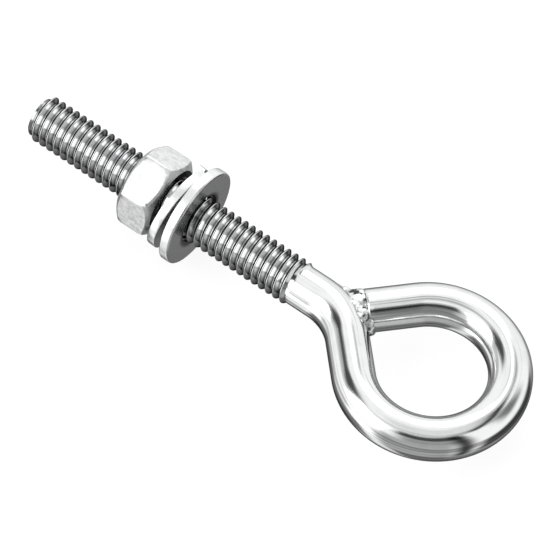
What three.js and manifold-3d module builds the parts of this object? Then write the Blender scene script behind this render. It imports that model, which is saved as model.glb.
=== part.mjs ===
// A bent-wire eye bolt with its hex nut, split lock washer and flat washer.
// Millimetres. The shank lies along X with its threaded tip at -X and the eye at +X,
// the eye lies flat in the XY plane, and +Z is up. The origin is on the shank's axis,
// half way along the whole bolt.

import * as THREE from 'three';
import { mergeVertices } from 'three/addons/utils/BufferGeometryUtils.js';
import Module from 'manifold-3d';

const wasm = await Module();
wasm.setup();

// ---- driving dimensions ----------------------------------------------------------------

// bolt: 5/16-18 rolled thread on a wire of about the thread's pitch diameter
const threadMajor = 7.94;
const threadPitch = 25.4 / 18;
const threadLength = 52;
const threadStartAngle = THREE.MathUtils.degToRad(157.5);
const threadTipDiameter = 6.2;
const wireDiameter = 7.1;
const neckLength = 3.67;
const bendRadius = 11.4;
const eyeInside = 17.8;
const legAngle = THREE.MathUtils.degToRad(43.5);
const wireEndStandoff = 3.45;
const weldRadius = 2.9;
const weldSetBack = 2.0;
const weldDrop = 0.6;

// hex nut
const nutAcrossFlats = 12.7;
const nutThickness = 6.55;
const nutFaceDiameter = 11.4;
const nutChamferAngle = THREE.MathUtils.degToRad(32);
const nutCornerAngle = THREE.MathUtils.degToRad(25.8);
const nutFromTip = 19.9;
const nutCountersink = 0.7;

// split lock washer: one turn of square-edged strip, left-handed, sprung open. It hangs
// loose on the thread, below its axis, and its upper side leans towards the eye.
const lockThickness = 1.5;
const lockWidth = 3.0;
const lockFreeHeight = 2.7;
const lockSplit = 0.9;
const lockSplitAngle = THREE.MathUtils.degToRad(50);
const lockDrop = 0.2;
const lockLean = THREE.MathUtils.degToRad(4.5);
const lockLeanAngle = THREE.MathUtils.degToRad(60);

// flat washer: it stands on the table with the shank resting in its bore, so its middle is
// above the shank's axis
const flatOutside = 17;
const flatThickness = 1.75;
const flatEdgeRadius = 0.25;
const flatRise = 0.25;

// ---- clearances ------------------------------------------------------------------------

const faceGap = 0.3;
const threadRadialClearance = 0.2;
const threadFlankClearance = 0.16;
const nutToothHeight = 0.55;
const lockBoreClearance = 0.48;
const flatBoreClearance = 0.45;

// ---- joins inside one solid ------------------------------------------------------------

const cornerMerge = 1e-5;
const ridgeSink = 0.1;
const fadeInset = 0.02;

// ---- mesh fineness ---------------------------------------------------------------------

const threadSides = 16;
const wireSides = 16;
const wireStep = 1.15;
const washerSides = 40;
const weldSides = 14;

// ---- worked out from the values above --------------------------------------------------

const fullTurn = 2 * Math.PI;
const wireRadius = wireDiameter / 2;
const crestRadius = threadMajor / 2;

// 60-degree thread form: sharp-V height, tooth depth and the flat on the crest
const flankAngle = THREE.MathUtils.degToRad(30);
const toothShareOfSharp = 17 / 24;
const sharpHeight = threadPitch / 2 / Math.tan(flankAngle);
const toothDepth = sharpHeight * toothShareOfSharp;
const rootRadius = crestRadius - toothDepth;
const crestFlat = threadPitch / 8;

// the eye: a circle whose two legs leave it early and run straight towards the shank
const eyeRadius = (eyeInside + wireDiameter) / 2;
const legRun = eyeRadius * Math.tan(legAngle);
const bendAngle = Math.PI / 2 - legAngle;
const bendTangent = bendRadius * Math.tan(bendAngle / 2);
const bendToEye = bendTangent + eyeRadius / Math.cos(legAngle);

// stations along X
const overallLength = threadLength + neckLength + bendToEye + eyeRadius + wireRadius;
const tipX = -overallLength / 2;
const threadEndX = tipX + threadLength;
const bendX = threadEndX + neckLength;
const eyeX = bendX + bendToEye;
const nutX = tipX + nutFromTip;
const lockX = nutX + nutThickness + faceGap;

// ---- solids and meshes -----------------------------------------------------------------

// Turns a closed three.js geometry into a solid: shared corners are merged and triangles
// that collapse onto the axis are dropped.
function solidOf(geometry) {
  const bare = geometry.clone();
  bare.deleteAttribute('normal');
  bare.deleteAttribute('uv');
  const merged = mergeVertices(bare, cornerMerge);
  const corners = merged.index.array;
  const kept = [];
  for (let i = 0; i < corners.length; i += 3) {
    const [a, b, c] = [corners[i], corners[i + 1], corners[i + 2]];
    if (a !== b && b !== c && c !== a) kept.push(a, b, c);
  }
  return new wasm.Manifold(new wasm.Mesh({
    numProp: 3,
    vertProperties: new Float32Array(merged.attributes.position.array),
    triVerts: new Uint32Array(kept),
  }));
}

function geometryOf(solid) {
  const mesh = solid.getMesh();
  const geometry = new THREE.BufferGeometry();
  geometry.setAttribute('position', new THREE.BufferAttribute(mesh.vertProperties, 3));
  geometry.setIndex(new THREE.BufferAttribute(mesh.triVerts, 1));
  geometry.computeVertexNormals();
  return geometry;
}

// A body of revolution about the X axis. The profile is a list of [x, radius].
function turned(profile, sides) {
  const points = profile.map(([x, radius]) => new THREE.Vector2(radius, x));
  const geometry = new THREE.LatheGeometry(points, sides);
  geometry.rotateZ(-Math.PI / 2);
  return geometry;
}

function steel(color, roughness) {
  return new THREE.MeshStandardMaterial({ color, roughness, metalness: 1 });
}

// ---- curves ----------------------------------------------------------------------------

// A helix about the X axis. Its frames stay square to the axis, so that a section swept
// along it keeps its first direction pointing away from the axis and its second along -X.
class AxialHelix extends THREE.Curve {
  constructor(startX, radius, lead, startAngle, turns) {
    super();
    Object.assign(this, { startX, radius, lead, startAngle, turns });
  }

  angleAt(t) {
    return this.startAngle + t * this.turns * fullTurn;
  }

  getPoint(t, target = new THREE.Vector3()) {
    const angle = this.angleAt(t);
    const x = this.startX + t * this.turns * this.lead;
    return target.set(x, this.radius * Math.cos(angle), this.radius * Math.sin(angle));
  }

  computeFrenetFrames(segments) {
    const frames = { tangents: [], normals: [], binormals: [] };
    for (let i = 0; i <= segments; i += 1) {
      const angle = this.angleAt(i / segments);
      frames.tangents.push(new THREE.Vector3(0, -Math.sin(angle), Math.cos(angle)));
      frames.normals.push(new THREE.Vector3(0, Math.cos(angle), Math.sin(angle)));
      frames.binormals.push(new THREE.Vector3(-1, 0, 0));
    }
    return frames;
  }
}

// A round stretch of wire in the XY plane, from one angle to another about its centre.
class PlanarArc extends THREE.Curve {
  constructor(centre, radius, from, to) {
    super();
    Object.assign(this, { centre, radius, from, to });
  }

  getPoint(t, target = new THREE.Vector3()) {
    const angle = this.from + t * (this.to - this.from);
    target.set(this.radius * Math.cos(angle), this.radius * Math.sin(angle), 0);
    return target.add(this.centre);
  }
}

function swept(section, path, steps) {
  return new THREE.ExtrudeGeometry(section, { steps, extrudePath: path, curveSegments: wireSides / 2 });
}

// ---- thread ----------------------------------------------------------------------------

// The ridge and its core as one solid that runs past both of the given X. The external
// thread and the hole that it screws into are the same form, the hole's being larger by its
// clearances.
function threadSolid(fromX, toX, { core, crest, flankGrowth }) {
  const halfCrest = crestFlat / 2 + (crestRadius - crest) * Math.tan(flankAngle) + flankGrowth;
  const halfBase = halfCrest + (crest - core + ridgeSink) * Math.tan(flankAngle);
  const section = new THREE.Shape([
    new THREE.Vector2(-ridgeSink, -halfBase),
    new THREE.Vector2(crest - core, -halfCrest),
    new THREE.Vector2(crest - core, halfCrest),
    new THREE.Vector2(-ridgeSink, halfBase),
  ]);
  const firstTurn = Math.floor((fromX - tipX) / threadPitch) - 1;
  const lastTurn = Math.ceil((toX - tipX) / threadPitch) + 1;
  const turns = lastTurn - firstTurn;
  const firstX = tipX + firstTurn * threadPitch;
  const helix = new AxialHelix(firstX, core, threadPitch, threadStartAngle, turns);
  const ridge = solidOf(swept(section, helix, turns * threadSides));
  const rodStart = fromX - threadPitch / 2;
  const rodEnd = toX + threadPitch / 2;
  const rod = turned([[rodStart, 0], [rodStart, core], [rodEnd, core], [rodEnd, 0]], threadSides);
  return solidOf(rod).add(ridge);
}

// ---- sub-parts -------------------------------------------------------------------------

// Straight shank, a bend away from the axis, a leg, the round of the eye and the second
// leg, which stops against the neck.
function eyeWirePath(startX) {
  const path = new THREE.CurvePath();
  const eyeCentre = new THREE.Vector3(eyeX, 0, 0);
  const bend = new PlanarArc(new THREE.Vector3(bendX, -bendRadius, 0), bendRadius,
    Math.PI / 2, Math.PI / 2 - bendAngle);
  const round = new PlanarArc(eyeCentre, eyeRadius, legAngle - Math.PI, Math.PI - legAngle);
  const legEnd = round.getPoint(1);
  const legDirection = new THREE.Vector3(-Math.sin(legAngle), -Math.cos(legAngle), 0);
  const wireEnd = legEnd.clone().addScaledVector(legDirection, legRun - wireEndStandoff);
  path.add(new THREE.LineCurve3(new THREE.Vector3(startX, 0, 0), bend.getPoint(0)));
  path.add(bend);
  path.add(new THREE.LineCurve3(bend.getPoint(1), round.getPoint(0)));
  path.add(round);
  path.add(new THREE.LineCurve3(legEnd, wireEnd));
  return { path, wireEnd };
}

function eyeBolt() {
  const runOut = threadPitch;
  const thread = threadSolid(tipX, threadEndX, {
    core: rootRadius, crest: crestRadius, flankGrowth: 0,
  });
  const tipRadius = threadTipDiameter / 2;
  const tipChamfer = crestRadius + faceGap - tipRadius;
  const envelope = solidOf(turned([
    [tipX, 0],
    [tipX, tipRadius],
    [tipX + tipChamfer, tipRadius + tipChamfer],
    [threadEndX - runOut, crestRadius + faceGap],
    [threadEndX, wireRadius],
    [threadEndX, 0],
  ], 2 * threadSides));
  const fade = solidOf(turned([
    [threadEndX - runOut, 0],
    [threadEndX - runOut, rootRadius / 2],
    [threadEndX, wireRadius - fadeInset],
    [threadEndX + neckLength / 2, wireRadius - fadeInset],
    [threadEndX + neckLength / 2, 0],
  ], wireSides));
  const { path, wireEnd } = eyeWirePath(threadEndX);
  const round = new THREE.Shape().absarc(0, 0, wireRadius, 0, fullTurn);
  const wire = solidOf(swept(round, path, Math.round(path.getLength() / wireStep)));
  const bead = new THREE.SphereGeometry(weldRadius, weldSides, weldSides / 2);
  bead.rotateX(Math.PI / 2);
  bead.translate(wireEnd.x - weldSetBack, wireEnd.y - weldDrop, 0);
  return geometryOf(thread.intersect(envelope).add(fade).add(wire).add(solidOf(bead)));
}

function hexNut() {
  const cornerRadius = nutAcrossFlats / Math.sqrt(3);
  const chamferDepth = (cornerRadius + faceGap - nutFaceDiameter / 2) * Math.tan(nutChamferAngle);
  const faceRadius = nutFaceDiameter / 2;
  const farX = nutX + nutThickness;
  const prism = new THREE.CylinderGeometry(cornerRadius, cornerRadius, nutThickness, 6);
  prism.rotateZ(-Math.PI / 2);
  prism.rotateX(nutCornerAngle - Math.PI / 2);
  prism.translate(nutX + nutThickness / 2, 0, 0);
  const chamfers = turned([
    [nutX, 0],
    [nutX, faceRadius],
    [nutX + chamferDepth, cornerRadius + faceGap],
    [farX - chamferDepth, cornerRadius + faceGap],
    [farX, faceRadius],
    [farX, 0],
  ], washerSides);
  const holeCrest = crestRadius + threadRadialClearance;
  const hole = threadSolid(nutX, farX, {
    core: holeCrest - nutToothHeight - threadRadialClearance,
    crest: holeCrest,
    flankGrowth: threadFlankClearance,
  });
  let nut = solidOf(prism).intersect(solidOf(chamfers)).subtract(hole);
  for (const [mouthX, inward] of [[nutX, 1], [farX, -1]]) {
    const rim = holeCrest + nutCountersink / 2;
    const cone = [
      [mouthX - inward * nutCountersink, 0],
      [mouthX - inward * nutCountersink, rim + nutCountersink],
      [mouthX + inward * rim, 0],
    ];
    if (inward < 0) cone.reverse();
    nut = nut.subtract(solidOf(turned(cone, 2 * threadSides)));
  }
  return geometryOf(nut);
}

function lockWasher() {
  const boreRadius = crestRadius + lockBoreClearance;
  const middleRadius = boreRadius + lockWidth / 2;
  const turns = 1 - lockSplit / (fullTurn * middleRadius);
  const climb = lockFreeHeight - lockThickness;
  const strip = new THREE.Shape([
    new THREE.Vector2(-lockWidth / 2, -lockThickness / 2),
    new THREE.Vector2(lockWidth / 2, -lockThickness / 2),
    new THREE.Vector2(lockWidth / 2, lockThickness / 2),
    new THREE.Vector2(-lockWidth / 2, lockThickness / 2),
  ]);
  const helix = new AxialHelix(climb / 2, middleRadius, -climb / turns, lockSplitAngle, turns);
  const geometry = swept(strip, helix, washerSides);
  const leanAxis = new THREE.Vector3(0, Math.sin(lockLeanAngle), -Math.cos(lockLeanAngle));
  geometry.applyMatrix4(new THREE.Matrix4().makeRotationAxis(leanAxis, lockLean));
  geometry.computeBoundingBox();
  geometry.translate(lockX - geometry.boundingBox.min.x, 0, -lockDrop);
  return geometryOf(solidOf(geometry));
}

function flatWasher(flatX) {
  const boreRadius = crestRadius + flatBoreClearance;
  const outerRadius = flatOutside / 2;
  const farX = flatX + flatThickness;
  const geometry = turned([
    [flatX, boreRadius],
    [flatX, outerRadius - flatEdgeRadius],
    [flatX + flatEdgeRadius, outerRadius],
    [farX - flatEdgeRadius, outerRadius],
    [farX, outerRadius - flatEdgeRadius],
    [farX, boreRadius],
    [flatX, boreRadius],
  ], washerSides);
  return geometry.translate(0, 0, flatRise);
}

// ---- assembly --------------------------------------------------------------------------

const eyeBoltAssembly = new THREE.Group();

function place(name, geometry, material) {
  const mesh = new THREE.Mesh(geometry, material);
  mesh.name = name;
  eyeBoltAssembly.add(mesh);
}

const lockWasherGeometry = lockWasher();
lockWasherGeometry.computeBoundingBox();
const flatWasherX = lockWasherGeometry.boundingBox.max.x + faceGap;

place('eye_bolt', eyeBolt(), steel(0xd0d2d4, 0.14));
place('hex_nut', hexNut(), steel(0xe4e6e6, 0.3));
place('lock_washer', lockWasherGeometry, steel(0xd8dadb, 0.25));
place('flat_washer', flatWasher(flatWasherX), steel(0xc2c4c5, 0.25));

export default eyeBoltAssembly;
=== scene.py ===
import math

import bmesh
import bpy
from mathutils import Matrix, Vector, noise


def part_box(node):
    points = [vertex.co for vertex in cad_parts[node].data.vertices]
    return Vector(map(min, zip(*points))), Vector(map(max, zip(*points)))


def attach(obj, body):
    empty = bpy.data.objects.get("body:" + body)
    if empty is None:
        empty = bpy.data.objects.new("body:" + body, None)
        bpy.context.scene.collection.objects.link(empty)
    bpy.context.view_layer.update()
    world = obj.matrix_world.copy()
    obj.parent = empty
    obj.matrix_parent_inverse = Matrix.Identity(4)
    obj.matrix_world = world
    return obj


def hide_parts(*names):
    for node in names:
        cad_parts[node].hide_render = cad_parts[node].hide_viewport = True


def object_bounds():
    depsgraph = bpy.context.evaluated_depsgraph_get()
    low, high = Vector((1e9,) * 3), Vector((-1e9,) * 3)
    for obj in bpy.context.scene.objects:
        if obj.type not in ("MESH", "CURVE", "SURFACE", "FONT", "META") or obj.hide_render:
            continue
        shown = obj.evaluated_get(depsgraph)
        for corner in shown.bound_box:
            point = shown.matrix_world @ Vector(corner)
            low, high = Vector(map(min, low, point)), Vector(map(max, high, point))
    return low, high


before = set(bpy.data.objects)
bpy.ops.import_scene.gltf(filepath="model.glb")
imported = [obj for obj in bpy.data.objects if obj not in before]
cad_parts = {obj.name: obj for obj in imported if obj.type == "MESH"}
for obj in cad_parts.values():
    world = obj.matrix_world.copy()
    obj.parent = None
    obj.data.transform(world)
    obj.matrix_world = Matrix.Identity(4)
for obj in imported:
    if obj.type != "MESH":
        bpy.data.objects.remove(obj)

# A bent-wire eye bolt with its hex nut, split lock washer and flat washer. The shapes are
# worked out in millimetres in the frame's axes: the shank lies along X with its tip at -X,
# the eye lies in the XY plane, and +Z is up. Each piece is turned into metres when it is made.

MM = 0.001
TURN = 2 * math.pi

cad_box = [list(corner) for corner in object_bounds()]


# ---- sizes -----------------------------------------------------------------------------


def box_mm(node):
    low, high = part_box(node)
    return low / MM, high / MM


bolt_low, bolt_high = box_mm("eye_bolt")
nut_low, nut_high = box_mm("hex_nut")
lock_low, lock_high = box_mm("lock_washer")
flat_low, flat_high = box_mm("flat_washer")

# thread: 5/16-18, rolled on a wire of about its pitch diameter
THREAD_PITCH = 25.4 / 18
THREAD_LENGTH = 52.0
THREAD_START_ANGLE = math.radians(157.5)
CREST_RADIUS = 3.97
ROOT_RADIUS = 3.104
CREST_HALF = THREAD_PITCH / 16
FLANK_TAN = math.tan(math.radians(30))
CREST_EASE = 0.1
ROOT_EASE = 0.16
PROFILE_STEPS = 3

# thread's end: its grooves fade over RUN_OUT, and its crests come down to the wire at END_SLOPE
RUN_OUT = 1.6 * THREAD_PITCH
END_SLOPE = 0.84

# tip: a flat rim, with a shallow dish inside it
TIP_RADIUS = 3.1
TIP_RIM = 0.25
TIP_DISH = 0.1
TIP_DISH_RADIUS = TIP_RADIUS * 0.6

# wire: neck, bend, leg, ring and second leg; the threaded skin is cut NECK_CUT past the
# thread's end, and the plain wire's skin starts at NECK_START
WIRE_RADIUS = 3.55
NECK_LENGTH = 3.67
NECK_CUT = 0.6
NECK_START = 0.9
BEND_RADIUS = 11.4
LEG_ANGLE = math.radians(43.5)
WIRE_END_STANDOFF = 3.45
WIRE_END_EASE = 0.35

tip_x = bolt_low.x
thread_end_x = tip_x + THREAD_LENGTH
neck_x = thread_end_x + NECK_START
bend_x = thread_end_x + NECK_LENGTH
eye_radius = bolt_high.y - WIRE_RADIUS
eye_x = bolt_high.x - bolt_high.y
bend_angle = math.pi / 2 - LEG_ANGLE

# weld: each lump is (ahead of the wire's end, outwards from the eye, up, radius), and each
# ripple on its skin is (waves to the millimetre, height)
WELD_PUDDLES = [
    (0.9, 0.9, 0.0, 2.9),
    (0.6, -1.4, 0.2, 2.4),
    (0.6, 2.2, 0.2, 1.5),
    (2.0, 2.6, 0.2, 1.5),
    (3.2, 3.6, 0.2, 1.0),
    (3.0, 3.2, 1.0, 1.0),
    (3.9, 4.2, 0.2, 1.05),
    (4.6, 4.6, 0.2, 1.15),
    (0.3, -2.9, -0.4, 1.5),
    (1.6, 0.7, 1.2, 1.8),
    (-0.5, 1.3, 0.4, 1.3),
    (1.3, -1.7, 1.8, 1.3),
    (0.8, -0.8, -1.9, 1.3),
    (0.5, 1.0, -2.0, 1.3),
]
WELD_VOXEL = 0.16
WELD_RELAX_TURNS = 4
WELD_RIPPLES = ((0.8, 0.2), (2.0, 0.05))

# nut
NUT_FACE_RADIUS = 5.7
NUT_FACE_BREAK = 0.12
NUT_CHAMFER_TAN = math.tan(math.radians(32))
NUT_CHAMFER_DEPTH = 0.9
NUT_ACROSS_FLATS = 12.7
NUT_CORNER_ANGLE = math.radians(25.8)
NUT_CREST_CLEARANCE = 0.2
NUT_BORE_CREST = CREST_RADIUS + NUT_CREST_CLEARANCE
NUT_TOOTH = 0.55
NUT_TOOTH_EASE = 0.06
NUT_MOUTH_RADIUS = NUT_BORE_CREST + 0.35
NUT_FLANK_CLEARANCE = 0.16

# washers
LOCK_THICKNESS = 1.5
LOCK_WIDTH = 3.0
LOCK_FREE_HEIGHT = 2.7
LOCK_BORE_RADIUS = CREST_RADIUS + 0.48
LOCK_EDGE_EASE = 0.16
LOCK_SPLIT = 0.9
LOCK_SPLIT_ANGLE = math.radians(50)
LOCK_DROP = 0.2
LOCK_LEAN = math.radians(4.5)
LOCK_LEAN_ANGLE = math.radians(60)
LOCK_END_EASE = 0.08
LOCK_END_SHRINK = 0.94
FLAT_BORE_RADIUS = CREST_RADIUS + 0.45
# at the bore next to the lock washer, the bore ahead, the rim ahead and the rim behind
FLAT_EDGE_EASES = (0.1, 0.22, 0.42, 0.16)

# mesh fineness
COLUMNS = 72
CORNER_STEPS = 4
FLAT_CORNER_STEPS = 5
STRAIGHT_STEPS = 12
LEG_STEPS = 8
ARC_STEP = math.radians(2.5)
NUT_COLUMNS_A_SIDE = 32
NUT_CHAMFER_ROWS = 15
NUT_MIDDLE_ROWS = 9
WASHER_COLUMNS = 120
LONGEST_EASE = 0.45
ON_PLANE = 1e-5


# ---- mesh helpers ----------------------------------------------------------------------


def eased(outline, ease, steps=CORNER_STEPS):
    """The open outline with each inner corner rounded. Ease is the length taken off each side,
    and at most the share LONGEST_EASE of that side."""
    points = [Vector(outline[0])]
    for before, corner, after in zip(outline, outline[1:], outline[2:]):
        before, corner, after = Vector(before), Vector(corner), Vector(after)
        shorter = min((before - corner).length, (after - corner).length)
        reach = min(ease, shorter * LONGEST_EASE)
        start = corner + (before - corner).normalized() * reach
        end = corner + (after - corner).normalized() * reach
        for step in range(steps + 1):
            t = step / steps
            points.append(start * (1 - t) ** 2 + corner * 2 * t * (1 - t) + end * t * t)
    points.append(Vector(outline[-1]))
    return points


def closed_eased(outline, eases, steps=CORNER_STEPS):
    """The same for a closed outline, with an ease for each of its corners."""
    points = []
    for i, ease in enumerate(eases):
        three = [outline[i - 1], outline[i], outline[(i + 1) % len(outline)]]
        points += eased(three, ease, steps)[1:-1]
    return points


def angle_of(vert):
    return math.atan2(vert.co.z, vert.co.y) % TURN


def quads_between(bm, ring, following):
    count = len(ring)
    for j in range(count):
        k = (j + 1) % count
        bm.faces.new((ring[j], ring[k], following[k], following[j]))


def zip_rings(bm, first, second):
    """Joins two rings round the X axis by triangles, whatever their counts."""
    a = sorted(first, key=angle_of)
    b = sorted(second, key=angle_of)
    i = j = 0
    while i < len(a) or j < len(b):
        next_a = angle_of(a[(i + 1) % len(a)]) + (TURN if i + 1 >= len(a) else 0)
        next_b = angle_of(b[(j + 1) % len(b)]) + (TURN if j + 1 >= len(b) else 0)
        if j >= len(b) or (i < len(a) and next_a <= next_b):
            bm.faces.new((a[i % len(a)], a[(i + 1) % len(a)], b[j % len(b)]))
            i += 1
        else:
            bm.faces.new((b[(j + 1) % len(b)], b[j % len(b)], a[i % len(a)]))
            j += 1


def round_x(x, radius, angle):
    """A point at an angle round the shank's axis, counted from +Y towards +Z."""
    return x, radius * math.cos(angle), radius * math.sin(angle)


def ring_at(bm, x, radius):
    return [bm.verts.new(round_x(x, radius, j / COLUMNS * TURN)) for j in range(COLUMNS)]


def cut_at(bm, x, keep):
    """Cuts the mesh square to X, keeps the side that keep points to and returns the new rim."""
    everything = bm.verts[:] + bm.edges[:] + bm.faces[:]
    bmesh.ops.bisect_plane(
        bm, geom=everything, dist=1e-6, plane_co=(x, 0, 0), plane_no=(-keep, 0, 0), clear_outer=True
    )
    return [v for v in bm.verts if abs(v.co.x - x) < ON_PLANE and v.is_boundary]


def helical_sheet(bm, profile, origin_x, first_turn, last_turn, trim):
    """One pitch of profile, a list of (x, radius), wound right-handed round the X axis.
    trim(x, radius) gives the radius that is kept there."""
    rows = len(profile)
    steps = (last_turn - first_turn) * COLUMNS + 1
    grid = []
    for j in range(steps):
        turn = first_turn + j / COLUMNS
        angle = THREAD_START_ANGLE + (j % COLUMNS) / COLUMNS * TURN
        for px, pr in profile:
            x = origin_x + turn * THREAD_PITCH + px
            grid.append(bm.verts.new(round_x(x, trim(x, pr), angle)))
    for j in range(steps - 1):
        for i in range(rows):
            here, ahead = j * rows + i, (j + 1) * rows + i
            if i + 1 == rows:
                over, over_ahead = (j + COLUMNS) * rows, (j + COLUMNS + 1) * rows
            else:
                over, over_ahead = here + 1, ahead + 1
            if over_ahead < len(grid):
                bm.faces.new((grid[here], grid[ahead], grid[over_ahead], grid[over]))


def smooth_step(t):
    t = min(1.0, max(0.0, t))
    return t * t * (3 - 2 * t)


def finish_mesh(bm, name, body, nodes, material, sharp_angle=40.0):
    """Makes the piece in metres, smooth but for its sharp edges, and ties it to the frame.
    Normals are weighted by area, so that flat sides look flat up to their rounded edges."""
    bmesh.ops.recalc_face_normals(bm, faces=bm.faces)
    mesh = bpy.data.meshes.new(name)
    bm.to_mesh(mesh)
    bm.free()
    mesh.transform(Matrix.Scale(MM, 4))
    mesh.shade_smooth()
    mesh.set_sharp_from_angle(angle=math.radians(sharp_angle))
    piece = bpy.data.objects.new(name, mesh)
    bpy.context.scene.collection.objects.link(piece)
    piece.data.materials.append(material)
    weighted = piece.modifiers.new("flat_sides", "WEIGHTED_NORMAL")
    weighted.keep_sharp = True
    weighted.weight = 80
    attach(piece, body)
    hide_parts(*nodes)
    return piece


# ---- bolt ------------------------------------------------------------------------------

# name of the attribute that holds each point's place on the wire as if it were straight
DRAWN = "drawn"


def thread_profile(crest, root, crest_half, crest_ease, root_ease):
    """One pitch of a 60-degree thread about its ridge, as (x, radius)."""
    base_half = crest_half + (crest - root) * FLANK_TAN
    corners = [
        (-THREAD_PITCH / 2, root),
        (-base_half, root),
        (-crest_half, crest),
        (crest_half, crest),
        (base_half, root),
        (THREAD_PITCH / 2, root),
    ]
    eases = (root_ease, crest_ease, crest_ease, root_ease)
    points = [corners[0]]
    for ease, *three in zip(eases, corners, corners[1:], corners[2:]):
        points += [tuple(p) for p in eased(three, ease, PROFILE_STEPS)[1:-1]]
    return points


def trimmed_thread(x, radius):
    """The bolt's thread with its chamfered tip and its run-out into the bare wire."""
    chamfer = TIP_RADIUS + max(0.0, x - tip_x)
    radius = min(radius, chamfer)
    fade = smooth_step((x - (thread_end_x - RUN_OUT)) / RUN_OUT)
    radius = max(radius, ROOT_RADIUS + (WIRE_RADIUS - ROOT_RADIUS) * fade)
    ceiling = WIRE_RADIUS + max(0.0, thread_end_x - x) * END_SLOPE
    return min(radius, ceiling)


def straight(start, end, heading, count):
    """Stations (x, y, heading) at equal steps from start to end, without start itself."""
    return [(*start.lerp(end, i / count), heading) for i in range(1, count + 1)]


def arc(centre, radius, start, end):
    """Stations round an arc from one angle to another, both ends included."""
    count = round(abs(end - start) / ARC_STEP)
    quarter = math.copysign(math.pi / 2, end - start)
    stations = []
    for i in range(count + 1):
        at = start + (end - start) * i / count
        x = centre.x + radius * math.cos(at)
        y = centre.y + radius * math.sin(at)
        stations.append((x, y, at + quarter))
    return stations


def wire_stations():
    """(x, y, heading, length so far) along the wire's axis from the neck to its free end."""
    neck = straight(Vector((neck_x, 0)), Vector((bend_x, 0)), 0.0, STRAIGHT_STEPS)
    bend = arc(Vector((bend_x, -BEND_RADIUS)), BEND_RADIUS, math.pi / 2, LEG_ANGLE)
    ring = arc(Vector((eye_x, 0)), eye_radius, LEG_ANGLE - math.pi, math.pi - LEG_ANGLE)
    leg = straight(Vector(bend[-1][:2]), Vector(ring[0][:2]), -bend_angle, LEG_STEPS)
    ring_end, heading = Vector(ring[-1][:2]), ring[-1][2]
    run = eye_radius * math.tan(LEG_ANGLE) - WIRE_END_STANDOFF - WIRE_END_EASE
    free_end = ring_end + Vector((math.cos(heading), math.sin(heading))) * run
    second_leg = straight(ring_end, free_end, heading, STRAIGHT_STEPS)
    measured = []
    before = neck[0]
    along = before[0]
    for station in neck + bend[1:] + leg[:-1] + ring + second_leg:
        along += math.dist(station[:2], before[:2])
        measured.append((*station, along))
        before = station
    return measured


def directions(heading):
    """Unit vectors ahead along the wire and to its left."""
    forward = Vector((math.cos(heading), math.sin(heading), 0))
    return forward, Vector((-forward.y, forward.x, 0))


def wire_ring(bm, station, radius, ahead=0.0):
    x, y, heading, along = station
    drawn = bm.verts.layers.float_vector[DRAWN]
    forward, side = directions(heading)
    centre = Vector((x, y, 0)) + forward * ahead
    ring = []
    for j in range(COLUMNS):
        angle = j / COLUMNS * TURN
        across, up = radius * math.cos(angle), radius * math.sin(angle)
        vert = bm.verts.new(centre + side * across + Vector((0, 0, up)))
        vert[drawn] = (across, up, along + ahead)
        ring.append(vert)
    return ring


def wire_end(bm, last_ring, station):
    """Rounds the rim of the sheared end and closes it."""
    ring = last_ring
    for step in range(1, CORNER_STEPS + 1):
        turn = math.pi / 2 * step / CORNER_STEPS
        radius = WIRE_RADIUS - WIRE_END_EASE * (1 - math.cos(turn))
        following = wire_ring(bm, station, radius, WIRE_END_EASE * math.sin(turn))
        quads_between(bm, ring, following)
        ring = following
    inner = wire_ring(bm, station, WIRE_RADIUS / 2, WIRE_END_EASE)
    quads_between(bm, ring, inner)
    bm.faces.new(inner)


def eye_bolt(material):
    bm = bmesh.new()
    drawn = bm.verts.layers.float_vector.new(DRAWN)
    profile = thread_profile(CREST_RADIUS, ROOT_RADIUS, CREST_HALF, CREST_EASE, ROOT_EASE)
    turns = math.ceil(THREAD_LENGTH / THREAD_PITCH) + 3
    helical_sheet(bm, profile, tip_x, -2, turns, trimmed_thread)
    neck_rim = cut_at(bm, thread_end_x + NECK_CUT, -1)
    tip_rim = cut_at(bm, tip_x, 1)
    tip_ring = ring_at(bm, tip_x, TIP_RADIUS - TIP_RIM)
    zip_rings(bm, tip_rim, tip_ring)
    dish_ring = ring_at(bm, tip_x + TIP_DISH, TIP_DISH_RADIUS)
    quads_between(bm, tip_ring, dish_ring)
    bm.faces.new(dish_ring)
    for vert in bm.verts:
        vert[drawn] = (vert.co.y, vert.co.z, vert.co.x)
    ring = wire_ring(bm, (neck_x, 0.0, 0.0, neck_x), WIRE_RADIUS)
    zip_rings(bm, neck_rim, ring)
    stations = wire_stations()
    for station in stations:
        following = wire_ring(bm, station, WIRE_RADIUS)
        quads_between(bm, ring, following)
        ring = following
    wire_end(bm, ring, stations[-1])
    return finish_mesh(bm, "eye_bolt_body", "bolt", ["eye_bolt"], material)


def weld_puddles():
    """The weld's overlapping lumps as plain balls, where the wire's end meets the neck."""
    x, y, heading, _ = wire_stations()[-1]
    forward, side = directions(heading)
    bm = bmesh.new()
    for ahead, outwards, up, radius in WELD_PUDDLES:
        centre = Vector((x, y, up)) + forward * ahead - side * outwards
        place = Matrix.Translation(centre)
        bmesh.ops.create_icosphere(bm, subdivisions=4, radius=radius, matrix=place)
    mesh = bpy.data.meshes.new("weld_puddles")
    bm.to_mesh(mesh)
    bm.free()
    return mesh


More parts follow.
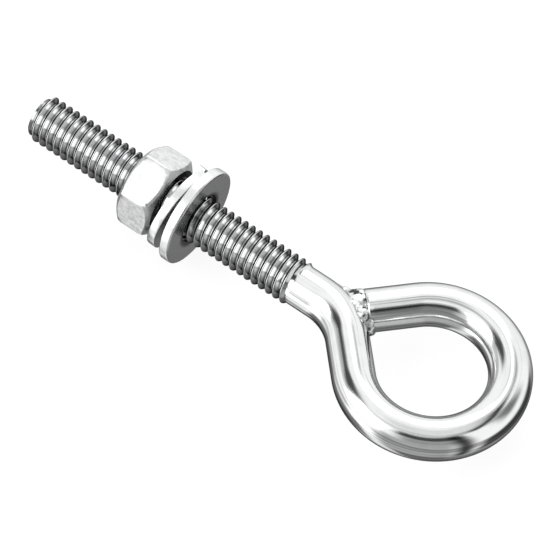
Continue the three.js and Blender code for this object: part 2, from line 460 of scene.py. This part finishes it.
def weld_bead(material):
    """The bead that joins the wire's end to the neck: puddles fused into one lumpy skin."""
    lumps = bpy.data.objects.new("weld_puddles", weld_puddles())
    bpy.context.scene.collection.objects.link(lumps)
    remesh = lumps.modifiers.new("fuse", "REMESH")
    remesh.mode = "VOXEL"
    remesh.voxel_size = WELD_VOXEL
    relax = lumps.modifiers.new("relax", "SMOOTH")
    relax.factor = 0.5
    relax.iterations = WELD_RELAX_TURNS
    evaluated = lumps.evaluated_get(bpy.context.evaluated_depsgraph_get())
    fused = bpy.data.meshes.new_from_object(evaluated)
    bpy.data.objects.remove(lumps)
    bm = bmesh.new()
    bm.from_mesh(fused)
    bm.normal_update()
    for vert in bm.verts:
        ripple = sum(noise.noise(vert.co * waves) * height for waves, height in WELD_RIPPLES)
        vert.co += vert.normal * ripple
    return finish_mesh(bm, "eye_bolt_weld", "bolt", ["eye_bolt"], material, 180.0)


# ---- nut -------------------------------------------------------------------------------


def soft_min(radii, sharpness=60.0):
    """Smallest of the radii, with the edges between them slightly rounded."""
    least = min(radii)
    total = sum((least / r) ** sharpness for r in radii if r > 0)
    return least * total ** (-1 / sharpness)


def nut_depth(x):
    """Distance from the nearer of the nut's two faces."""
    return min(x - nut_low.x, nut_high.x - x)


def nut_outside(x, angle):
    """Radius of the nut's outside at a station and an angle from +Y towards +Z."""
    radii = [NUT_FACE_RADIUS + nut_depth(x) / NUT_CHAMFER_TAN]
    for side in range(6):
        across = math.cos(angle - NUT_CORNER_ANGLE - math.radians(30 + 60 * side))
        if across > 0.2:
            radii.append(NUT_ACROSS_FLATS / 2 / across)
    return soft_min(radii)


def nut_mouth(x, radius):
    """The nut's thread, opened at both faces by a 45-degree chamfer."""
    return max(radius, NUT_MOUTH_RADIUS - max(0.0, nut_depth(x)))


def nut_angles():
    """Angles round the nut, closer together towards its corners."""
    angles = []
    for side in range(6):
        for i in range(NUT_COLUMNS_A_SIDE):
            u = -1 + 2 * i / NUT_COLUMNS_A_SIDE
            part = math.radians(30) * math.sin(u * math.pi / 2)
            angles.append(NUT_CORNER_ANGLE + math.radians(30 + 60 * side) + part)
    return angles


def nut_stations():
    """Places along the nut from face to face, closer together in its chamfers."""
    middle = nut_high.x - nut_low.x - 2 * NUT_CHAMFER_DEPTH
    chamfer = [NUT_CHAMFER_DEPTH * i / NUT_CHAMFER_ROWS for i in range(NUT_CHAMFER_ROWS + 1)]
    near = [nut_low.x + depth for depth in chamfer]
    far = [nut_high.x - depth for depth in reversed(chamfer)]
    between = [near[-1] + middle * i / NUT_MIDDLE_ROWS for i in range(1, NUT_MIDDLE_ROWS)]
    return near + between + far


def nut_thread(bm):
    """The thread inside the nut, cut square at both faces. Returns its two rims."""
    crest_half = CREST_HALF - NUT_CREST_CLEARANCE * FLANK_TAN + NUT_FLANK_CLEARANCE
    root = NUT_BORE_CREST - NUT_TOOTH
    profile = thread_profile(NUT_BORE_CREST, root, crest_half, NUT_TOOTH_EASE, NUT_TOOTH_EASE)
    first_turn = math.floor((nut_low.x - tip_x) / THREAD_PITCH) - 2
    last_turn = math.ceil((nut_high.x - tip_x) / THREAD_PITCH) + 2
    helical_sheet(bm, profile, tip_x, first_turn, last_turn, nut_mouth)
    return cut_at(bm, nut_low.x, 1), cut_at(bm, nut_high.x, -1)


def nut_face(bm, rim, outer):
    """One face of the nut, from its thread's rim to a break just inside the outer edge."""
    inner = []
    for vert in outer:
        scale = 1 - NUT_FACE_BREAK / vert.co.yz.length
        inner.append(bm.verts.new((vert.co.x, vert.co.y * scale, vert.co.z * scale)))
    quads_between(bm, outer, inner)
    zip_rings(bm, rim, inner)


def hex_nut(material):
    bm = bmesh.new()
    near_rim, far_rim = nut_thread(bm)
    angles = nut_angles()
    rings = []
    for x in nut_stations():
        rings.append([bm.verts.new(round_x(x, nut_outside(x, angle), angle)) for angle in angles])
    for ring, following in zip(rings, rings[1:]):
        quads_between(bm, ring, following)
    nut_face(bm, near_rim, rings[0])
    nut_face(bm, far_rim, rings[-1])
    return finish_mesh(bm, "hex_nut_body", "nut", ["hex_nut"], material, 30.0)


# ---- washers ---------------------------------------------------------------------------


def lock_places(length):
    """(share of the way round, size of the section) from end to end of the sprung strip."""
    ease = LOCK_END_EASE / length
    inner = [(i / WASHER_COLUMNS, 1.0) for i in range(1, WASHER_COLUMNS)]
    near = [(0.0, LOCK_END_SHRINK), (ease, 1.0)]
    far = [(1 - ease, 1.0), (1.0, LOCK_END_SHRINK)]
    return near + inner + far


def lock_washer(material):
    """A strip of spring steel wound nearly once round, its ends left apart."""
    middle = LOCK_BORE_RADIUS + LOCK_WIDTH / 2
    sweep = TURN - LOCK_SPLIT / middle
    climb = LOCK_FREE_HEIGHT - LOCK_THICKNESS
    half_x, half_r = LOCK_THICKNESS / 2, LOCK_WIDTH / 2
    section = [(-half_x, -half_r), (half_x, -half_r), (half_x, half_r), (-half_x, half_r)]
    section = closed_eased(section, (LOCK_EDGE_EASE,) * 4)
    bm = bmesh.new()
    rings = []
    for t, size in lock_places(sweep * middle):
        angle = LOCK_SPLIT_ANGLE + t * sweep
        start_x = (0.5 - t) * climb
        ring = []
        for dx, dr in section:
            ring.append(bm.verts.new(round_x(start_x + dx * size, middle + dr * size, angle)))
        rings.append(ring)
    for ring, following in zip(rings, rings[1:]):
        quads_between(bm, ring, following)
    bm.faces.new(rings[0])
    bm.faces.new(list(reversed(rings[-1])))
    lean_axis = Vector((0, math.sin(LOCK_LEAN_ANGLE), -math.cos(LOCK_LEAN_ANGLE)))
    bmesh.ops.transform(bm, matrix=Matrix.Rotation(LOCK_LEAN, 4, lean_axis), verts=bm.verts)
    along = [v.co.x for v in bm.verts]
    to_middle = (lock_low.x + lock_high.x - min(along) - max(along)) / 2
    bmesh.ops.translate(bm, vec=(to_middle, 0, -LOCK_DROP), verts=bm.verts)
    return finish_mesh(
        bm, "lock_washer_body", "lock_washer", ["lock_washer"], material, 50.0
    )


def flat_washer(material):
    """A punched ring: its edges are rounded by different amounts, as a press leaves them."""
    outer = flat_high.y
    rise = Vector((0, 0, (flat_low.z + flat_high.z) / 2))
    low, high = flat_low.x, flat_high.x
    corners = [(low, FLAT_BORE_RADIUS), (high, FLAT_BORE_RADIUS), (high, outer), (low, outer)]
    section = closed_eased(corners, FLAT_EDGE_EASES, FLAT_CORNER_STEPS)
    bm = bmesh.new()
    rings = []
    for j in range(WASHER_COLUMNS):
        angle = j / WASHER_COLUMNS * TURN
        rings.append([bm.verts.new(rise + Vector(round_x(x, r, angle))) for x, r in section])
    for ring, following in zip(rings, rings[1:] + rings[:1]):
        quads_between(bm, ring, following)
    return finish_mesh(
        bm, "flat_washer_body", "flat_washer", ["flat_washer"], material, 50.0
    )


# ---- materials -------------------------------------------------------------------------


# The Mix node's colour sockets share their names with its number and vector sockets.
MIX_FACTOR, MIX_FIRST, MIX_SECOND, MIX_RESULT = 0, 6, 7, 2


def connect(tree, source, target):
    """Links a socket to the target, or sets a plain value there."""
    if hasattr(source, "links"):
        tree.links.new(source, target)
    else:
        target.default_value = source


def math_node(tree, operation, *values):
    node = tree.nodes.new("ShaderNodeMath")
    node.operation = operation
    for value, target in zip(values, node.inputs):
        connect(tree, value, target)
    return node.outputs["Value"]


def soft_range(tree, value, low, high, to_low, to_high):
    """to_low at low and to_high at high, easing smoothly from one to the other."""
    node = tree.nodes.new("ShaderNodeMapRange")
    node.interpolation_type = "SMOOTHSTEP"
    connect(tree, value, node.inputs["Value"])
    node.inputs["From Min"].default_value = low
    node.inputs["From Max"].default_value = high
    node.inputs["To Min"].default_value = to_low
    node.inputs["To Max"].default_value = to_high
    return node.outputs["Result"]


def split_xyz(tree, vector):
    node = tree.nodes.new("ShaderNodeSeparateXYZ")
    tree.links.new(vector, node.inputs["Vector"])
    return node.outputs["X"], node.outputs["Y"], node.outputs["Z"]


class Nodes:
    """Short calls for building one metal's node tree in millimetres of the object."""

    def __init__(self, name):
        self.material = bpy.data.materials.new(name)
        self.material.use_nodes = True
        self.tree = self.material.node_tree
        self.shader = self.tree.nodes["Principled BSDF"]
        self.shader.inputs["Metallic"].default_value = 1.0
        self.coordinates = self.tree.nodes.new("ShaderNodeTexCoord").outputs
        self.place = self.stretched(self.coordinates["Object"], (1 / MM,) * 3)

    def stretched(self, vector, factors):
        node = self.tree.nodes.new("ShaderNodeVectorMath")
        node.operation = "MULTIPLY"
        connect(self.tree, vector, node.inputs[0])
        connect(self.tree, factors, node.inputs[1])
        return node.outputs["Vector"]

    def noise(self, stretch, detail=3.0, rough=0.55, place=None):
        """Noise with a number, or three, of waves to the millimetre."""
        factors = stretch if isinstance(stretch, tuple) else (stretch,) * 3
        node = self.tree.nodes.new("ShaderNodeTexNoise")
        node.inputs["Scale"].default_value = 1.0
        node.inputs["Detail"].default_value = detail
        node.inputs["Roughness"].default_value = rough
        connect(self.tree, self.stretched(place or self.place, factors), node.inputs["Vector"])
        return node.outputs["Fac"]

    def drawn(self):
        """Place on the wire as if it were straight: across, up and along, in millimetres."""
        node = self.tree.nodes.new("ShaderNodeAttribute")
        node.attribute_name = DRAWN
        return node.outputs["Vector"]

    def facing_x(self):
        """How squarely the surface faces along the shank, from 0 to 1."""
        x, _, _ = split_xyz(self.tree, self.coordinates["Normal"])
        return math_node(self.tree, "ABSOLUTE", x)

    def shank_place(self):
        """Distance along the shank and from its axis, in millimetres."""
        x, y, z = split_xyz(self.tree, self.place)
        y_squared = math_node(self.tree, "MULTIPLY", y, y)
        z_squared = math_node(self.tree, "MULTIPLY", z, z)
        return x, math_node(self.tree, "SQRT", math_node(self.tree, "ADD", y_squared, z_squared))

    def spread(self, value, low, high, to_low=0.0, to_high=1.0):
        return soft_range(self.tree, value, low, high, to_low, to_high)

    def weigh(self, first, second, share):
        """The two heights added, the second with the given share."""
        most = math_node(self.tree, "MULTIPLY", first, 1 - share)
        rest = math_node(self.tree, "MULTIPLY", second, share)
        return math_node(self.tree, "ADD", most, rest)

    def mix_colour(self, amount, a, b):
        node = self.tree.nodes.new("ShaderNodeMix")
        node.data_type = "RGBA"
        connect(self.tree, amount, node.inputs[MIX_FACTOR])
        connect(self.tree, a, node.inputs[MIX_FIRST])
        connect(self.tree, b, node.inputs[MIX_SECOND])
        return node.outputs[MIX_RESULT]

    def painted_bore_shade(self, colour, bore_radius, start, end, dark):
        """Paints shade round the bore: darkens the colour up to start from the bore, and less and
        less up to end.
        """
        _, radius = self.shank_place()
        cover = self.spread(radius, bore_radius + start, bore_radius + end, 1.0, 0.0)
        return self.mix_colour(cover, colour, dark)

    def bump(self, height, strength, distance_mm):
        node = self.tree.nodes.new("ShaderNodeBump")
        node.inputs["Strength"].default_value = strength
        node.inputs["Distance"].default_value = distance_mm * MM
        connect(self.tree, height, node.inputs["Height"])
        connect(self.tree, node.outputs["Normal"], self.shader.inputs["Normal"])

    def finish(self, colour, roughness):
        connect(self.tree, colour, self.shader.inputs["Base Color"])
        connect(self.tree, roughness, self.shader.inputs["Roughness"])
        return self.material


def grey(value):
    return (value, value * 1.005, value * 1.01, 1)


def wire_steel():
    """Bright plated wire: lines left by drawing it, soft clouding, and a thread whose rolled
    surface is darker, with painted shade making it darker still in its grooves."""
    n = Nodes("wire_steel")
    x, radius = n.shank_place()
    lines = n.noise((1.3, 1.3, 0.015), 4.0, 0.6, n.drawn())
    fine = n.noise(9.0, 4.0)
    cloudy = n.noise(0.35)
    on_thread = n.spread(x, thread_end_x - 0.7, thread_end_x, 1.0, 0.0)
    # painted shade: the thread's grooves are coloured darker towards their roots
    groove_shade = n.spread(radius, ROOT_RADIUS + 0.05, ROOT_RADIUS + 0.45, 1.0, 0.0)
    bright = n.mix_colour(n.spread(cloudy, 0.35, 0.7), grey(0.92), grey(0.86))
    bright = n.mix_colour(n.spread(lines, 0.5, 0.62), bright, grey(0.5))
    rolled = n.mix_colour(groove_shade, grey(0.66), grey(0.34))
    colour = n.mix_colour(on_thread, bright, rolled)
    edge = n.mix_colour(on_thread, grey(0.4), grey(0.03))
    connect(n.tree, edge, n.shader.inputs["Specular Tint"])
    n.bump(n.weigh(lines, fine, 0.2), 0.3, 0.06)
    return n.finish(colour, n.spread(lines, 0.3, 0.75, 0.07, 0.14))


def weld_steel():
    """Weld metal under the same plating: bright puddles, with dark spots painted in as dark
    reflections on the bumpy bead.
    """
    n = Nodes("weld_steel")
    spots = n.noise(0.8, 2.0, 0.4)
    fine = n.noise(3.5)
    # painted reflection: dark spots in the colour stand in for the dark reflections of the bumpy
    # bead
    colour = n.mix_colour(n.spread(spots, 0.5, 0.62), grey(0.95), grey(0.06))
    n.bump(n.weigh(spots, fine, 0.2), 0.2, 0.06)
    return n.finish(colour, n.spread(spots, 0.45, 0.6, 0.3, 0.45))


def nut_steel():
    """Zinc-plated nut: satin and faintly mottled, with painted shade greying its chamfers
    and blackening its bearing faces."""
    n = Nodes("nut_steel")
    facing = n.facing_x()
    mottle = n.noise(1.1, 5.0, 0.65)
    fine = n.noise(8.0)
    colour = n.mix_colour(n.spread(mottle, 0.4, 0.62), grey(0.9), grey(0.74))
    # painted shade: the chamfers are coloured grey
    colour = n.mix_colour(n.spread(facing, 0.6, 0.8), colour, grey(0.75))
    # painted shade: the bearing faces, hidden against the washers, are coloured nearly black
    colour = n.mix_colour(n.spread(facing, 0.93, 0.98), colour, grey(0.03))
    n.bump(n.weigh(mottle, fine, 0.25), 0.3, 0.05)
    return n.finish(colour, n.spread(mottle, 0.3, 0.7, 0.22, 0.36))


def lock_steel():
    """Spring steel strip: a bright edge, with painted shade darkening its flat sides and, most of
    all, the strip near the bore.
    """
    n = Nodes("lock_steel")
    cloudy = n.noise(0.8, 4.0)
    fine = n.noise(6.0)
    colour = n.mix_colour(n.spread(cloudy, 0.4, 0.65), grey(0.95), grey(0.85))
    # painted shade: the flat sides, which face the nut and the flat washer, are coloured darker
    colour = n.mix_colour(n.spread(n.facing_x(), 0.55, 0.9), colour, grey(0.6))
    # painted shade: the strip near the bore is coloured nearly black
    colour = n.painted_bore_shade(colour, LOCK_BORE_RADIUS, 0.5, 1.5, grey(0.1))
    n.bump(fine, 0.2, 0.02)
    return n.finish(colour, n.spread(cloudy, 0.3, 0.7, 0.14, 0.28))


def flat_steel():
    """Punched washer: tumbled satin, with its faces painted darker than its bright edge as a
    painted dark reflection, and painted shade round the bore.
    """
    n = Nodes("flat_steel")
    cloudy = n.noise(0.5)
    scuffs = n.noise((2.0, 3.0, 2.0))
    colour = n.mix_colour(n.spread(cloudy, 0.35, 0.7), grey(0.92), grey(0.84))
    # painted reflection: the flat faces are coloured darker than the edge, for the darker
    # reflections they show
    colour = n.mix_colour(n.spread(n.facing_x(), 0.5, 0.95), colour, grey(0.55))
    # painted shade: the face round the bore is coloured nearly black
    colour = n.painted_bore_shade(colour, FLAT_BORE_RADIUS, 0.2, 1.1, grey(0.05))
    n.bump(scuffs, 0.1, 0.02)
    return n.finish(colour, n.spread(scuffs, 0.3, 0.7, 0.2, 0.3))


# ---- studio ----------------------------------------------------------------------------

# The photo's view: bearing from -Y towards +X, height, roll, distance in metres, the point
# looked at, and the lens on a full-frame sensor.
VIEW_AZIMUTH = math.radians(30.34)
VIEW_ELEVATION = math.radians(56.90)
VIEW_ROLL = math.radians(7.0)
VIEW_DISTANCE = 0.8239
VIEW_TARGET = Vector((0.004147, -0.004664, 0.006175))
VIEW_LENS = 337.04
SENSOR_WIDTH = 36.0

# The lamp and the floor, in metres and watts; the floor lies a little below the lowest rim.
LAMP_PLACE = Vector((-0.15, 0.1, 0.9))
LAMP_SIZE = 0.5
LAMP_POWER = 1.2
FLOOR_HALF = 2.0
FLOOR_GAP = 0.0003
FLOOR_PAPER = (0.9, 0.9, 0.9, 1)
FLOOR_GLOW = 1.1
FLOOR_GLOW_SHARE = 0.8

# Grey and bright panels round the white studio, in degrees: the middle's bearing from +X
# towards +Y and its height, the half widths both ways, the softness of the edge, and the
# brightness there, where white is 1.
PANELS = [
    ("front", (-52, 53), (40, 10), 6, 0.06),
    ("front_mid", (-52, 33), (34, 13), 12, 0.3),
    ("upright", (-20, 5), (8, 56), 7, 0.06),
    ("over", (44, 61), (38, 5), 4, 0.05),
    ("over_soft", (40, 67), (56, 7), 6, 0.65),
    ("over_end", (94, 52), (16, 5), 7, 0.4),
    ("far", (38, 36), (15, 16), 10, 0.2),
    ("floor_far", (32, -28), (36, 20), 8, 0.07),
    ("left", (-171, 46), (18, 15), 8, 0.07),
    ("left_low", (-160, -46), (38, 18), 6, 0.2),
    ("right_low", (150, -30), (28, 20), 12, 0.5),
    ("behind", (100, -40), (34, 20), 8, 0.5),
    ("front_low", (-66, -20), (36, 42), 9, 0.42),
    ("below", (60, -70), (150, 20), 8, 0.22),
    ("top", (0, 84), (180, 8), 6, 0.75),
    ("key", (-127, 35), (23, 21), 3, 3.0),
    ("fill", (115, 42), (15, 17), 6, 2.6),
    ("low_key", (-122, -12), (15, 14), 6, 2.0),
]


def camera():
    back = Vector((
        math.sin(VIEW_AZIMUTH) * math.cos(VIEW_ELEVATION),
        -math.cos(VIEW_AZIMUTH) * math.cos(VIEW_ELEVATION),
        math.sin(VIEW_ELEVATION),
    ))
    data = bpy.data.cameras.new("camera")
    data.lens = VIEW_LENS
    data.sensor_width = SENSOR_WIDTH
    data.clip_start = 0.01
    data.clip_end = 20.0
    viewer = bpy.data.objects.new("camera", data)
    viewer.location = VIEW_TARGET + back * VIEW_DISTANCE
    level = (-back).to_track_quat("-Z", "Y").to_matrix()
    viewer.rotation_euler = (level @ Matrix.Rotation(VIEW_ROLL, 3, "Z")).to_euler()
    bpy.context.scene.collection.objects.link(viewer)
    bpy.context.scene.camera = viewer


def inside_span(tree, away, half, soft):
    """1 within half of the middle, falling smoothly to 0 over the soft edge."""
    distance = math_node(tree, "ABSOLUTE", away)
    return soft_range(tree, distance, half - soft, half + soft, 1.0, 0.0)


def panel_cover(tree, bearing, height, middle, half, soft):
    """1 in the directions that a panel covers and 0 elsewhere."""
    away = math_node(tree, "SUBTRACT", bearing, middle[0])
    around = math_node(tree, "WRAP", away, 180.0, -180.0)
    across = inside_span(tree, around, half[0], soft)
    above = math_node(tree, "SUBTRACT", height, middle[1])
    upward = inside_span(tree, above, half[1], min(soft, half[1]))
    return math_node(tree, "MULTIPLY", across, upward)


def studio_world():
    """White all round but for the panels, which only reflections and light meet."""
    world = bpy.data.worlds.new("studio")
    world.use_nodes = True
    tree = world.node_tree
    background = tree.nodes["Background"]
    x, y, z = split_xyz(tree, tree.nodes.new("ShaderNodeTexCoord").outputs["Generated"])
    bearing = math_node(tree, "DEGREES", math_node(tree, "ARCTAN2", y, x))
    height = math_node(tree, "DEGREES", math_node(tree, "ARCSINE", z))
    light = 1.0
    for _, middle, half, soft, brightness in PANELS:
        cover = panel_cover(tree, bearing, height, middle, half, soft)
        change = math_node(tree, "MULTIPLY", cover, 1 - brightness)
        light = math_node(tree, "MULTIPLY", light, math_node(tree, "SUBTRACT", 1.0, change))
    path = tree.nodes.new("ShaderNodeLightPath").outputs
    seen = math_node(tree, "MAXIMUM", path["Is Camera Ray"], path["Is Transmission Ray"])
    tree.links.new(math_node(tree, "MAXIMUM", light, seen), background.inputs["Color"])
    background.inputs["Strength"].default_value = 1.0
    bpy.context.scene.world = world


def floor_paper():
    """White paper that takes shadows, and glows for the camera so that it shows as white."""
    material = bpy.data.materials.new("floor_paper")
    material.use_nodes = True
    tree = material.node_tree
    tree.nodes.remove(tree.nodes["Principled BSDF"])
    paper = tree.nodes.new("ShaderNodeBsdfDiffuse")
    paper.inputs["Color"].default_value = FLOOR_PAPER
    glow = tree.nodes.new("ShaderNodeEmission")
    glow.inputs["Strength"].default_value = FLOOR_GLOW
    path = tree.nodes.new("ShaderNodeLightPath").outputs
    seen = math_node(tree, "MAXIMUM", path["Is Camera Ray"], path["Is Transmission Ray"])
    mix = tree.nodes.new("ShaderNodeMixShader")
    share = math_node(tree, "MULTIPLY", seen, FLOOR_GLOW_SHARE)
    for source, target in zip((share, paper.outputs["BSDF"], glow.outputs["Emission"]), mix.inputs):
        tree.links.new(source, target)
    tree.links.new(mix.outputs["Shader"], tree.nodes["Material Output"].inputs["Surface"])
    return material


def floor():
    """A plain pale floor just under the flat washer's rim."""
    bm = bmesh.new()
    z = cad_box[0][2] - FLOOR_GAP
    corners = ((-1, -1), (1, -1), (1, 1), (-1, 1))
    bm.faces.new([bm.verts.new((x * FLOOR_HALF, y * FLOOR_HALF, z)) for x, y in corners])
    mesh = bpy.data.meshes.new("floor")
    bm.to_mesh(mesh)
    bm.free()
    sheet = bpy.data.objects.new("floor", mesh)
    sheet.data.materials.append(floor_paper())
    sheet.visible_glossy = False
    bpy.context.scene.collection.objects.link(sheet)


def lamp():
    """One soft square lamp high above, which reflections don't show."""
    data = bpy.data.lights.new("overhead", "AREA")
    data.shape = "SQUARE"
    data.size = LAMP_SIZE
    data.energy = LAMP_POWER
    overhead = bpy.data.objects.new("overhead", data)
    overhead.location = LAMP_PLACE
    overhead.rotation_euler = (-LAMP_PLACE).to_track_quat("-Z", "Y").to_euler()
    overhead.visible_glossy = False
    bpy.context.scene.collection.objects.link(overhead)


def studio():
    camera()
    studio_world()
    floor()
    lamp()
    bpy.context.scene.view_settings.view_transform = "Standard"


# ---- the whole -------------------------------------------------------------------------

studio()
eye_bolt(wire_steel())
weld_bead(weld_steel())
hex_nut(nut_steel())
lock_washer(lock_steel())
flat_washer(flat_steel())
